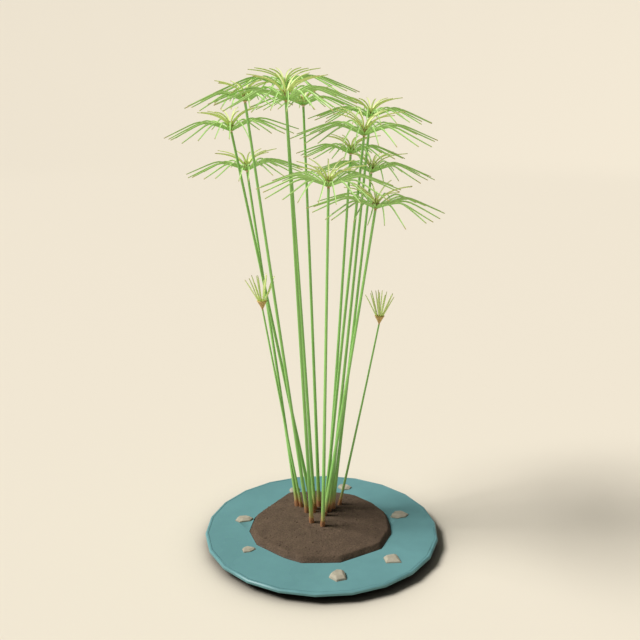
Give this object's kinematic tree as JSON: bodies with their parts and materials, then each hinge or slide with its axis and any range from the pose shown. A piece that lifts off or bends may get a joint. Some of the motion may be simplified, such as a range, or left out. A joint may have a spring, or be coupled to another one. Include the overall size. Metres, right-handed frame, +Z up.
{
  "type": "potted papyrus plant",
  "caption": "Umbrella papyrus clump with umbels of arching rays, rising from a low soil mound ringed by stones in a wide shallow glazed water dish.",
  "frame": {"origin": "middle of the flat underside of the dish's foot, on the floor", "axes": "+Z up along the stems, -Y towards the side with the large front stone, +X to that side's right"},
  "size_m": [0.4499, 0.433, 0.7984],
  "materials": {
    "teal_glaze": "gloss",
    "water": "polished",
    "soil": "matte",
    "stone": "matte",
    "stem_green": "satin",
    "sheath_brown": "matte",
    "ray_green": "satin",
    "young_green": "satin"
  },
  "bodies": {
    "root": {"dish": "teal_glaze", "water": "water", "soil_mound": "soil", "stone_left": "stone", "stone_left_front": "stone", "stone_front": "stone", "stone_right_front": "stone", "stone_right": "stone", "stone_back_right": "stone", "stone_back_left": "stone", "stem_01": "stem_green", "stem_02": "stem_green", "stem_03": "stem_green", "stem_04": "stem_green", "stem_05": "stem_green", "stem_06": "stem_green", "stem_07": "stem_green", "stem_08": "stem_green", "stem_09": "stem_green", "stem_10": "stem_green", "stem_11": "stem_green", "stem_12": "stem_green", "sheath_01": "sheath_brown", "sheath_02": "sheath_brown", "sheath_03": "sheath_brown", "sheath_04": "sheath_brown", "sheath_05": "sheath_brown", "sheath_06": "sheath_brown", "sheath_07": "sheath_brown", "sheath_08": "sheath_brown", "sheath_09": "sheath_brown", "sheath_10": "sheath_brown", "sheath_11": "sheath_brown", "sheath_12": "sheath_brown", "umbel_01": "ray_green", "umbel_02": "ray_green", "umbel_03": "ray_green", "umbel_04": "ray_green", "umbel_05": "ray_green", "umbel_06": "ray_green", "umbel_07": "ray_green", "umbel_08": "ray_green", "umbel_09": "ray_green", "umbel_10": "ray_green", "umbel_11": "ray_green", "umbel_12": "ray_green", "young_stem_1": "stem_green", "young_stem_2": "stem_green", "young_sheath_1": "sheath_brown", "young_sheath_2": "sheath_brown", "young_umbel_1": "young_green", "young_umbel_2": "young_green"}
  },
  "joints": []
}
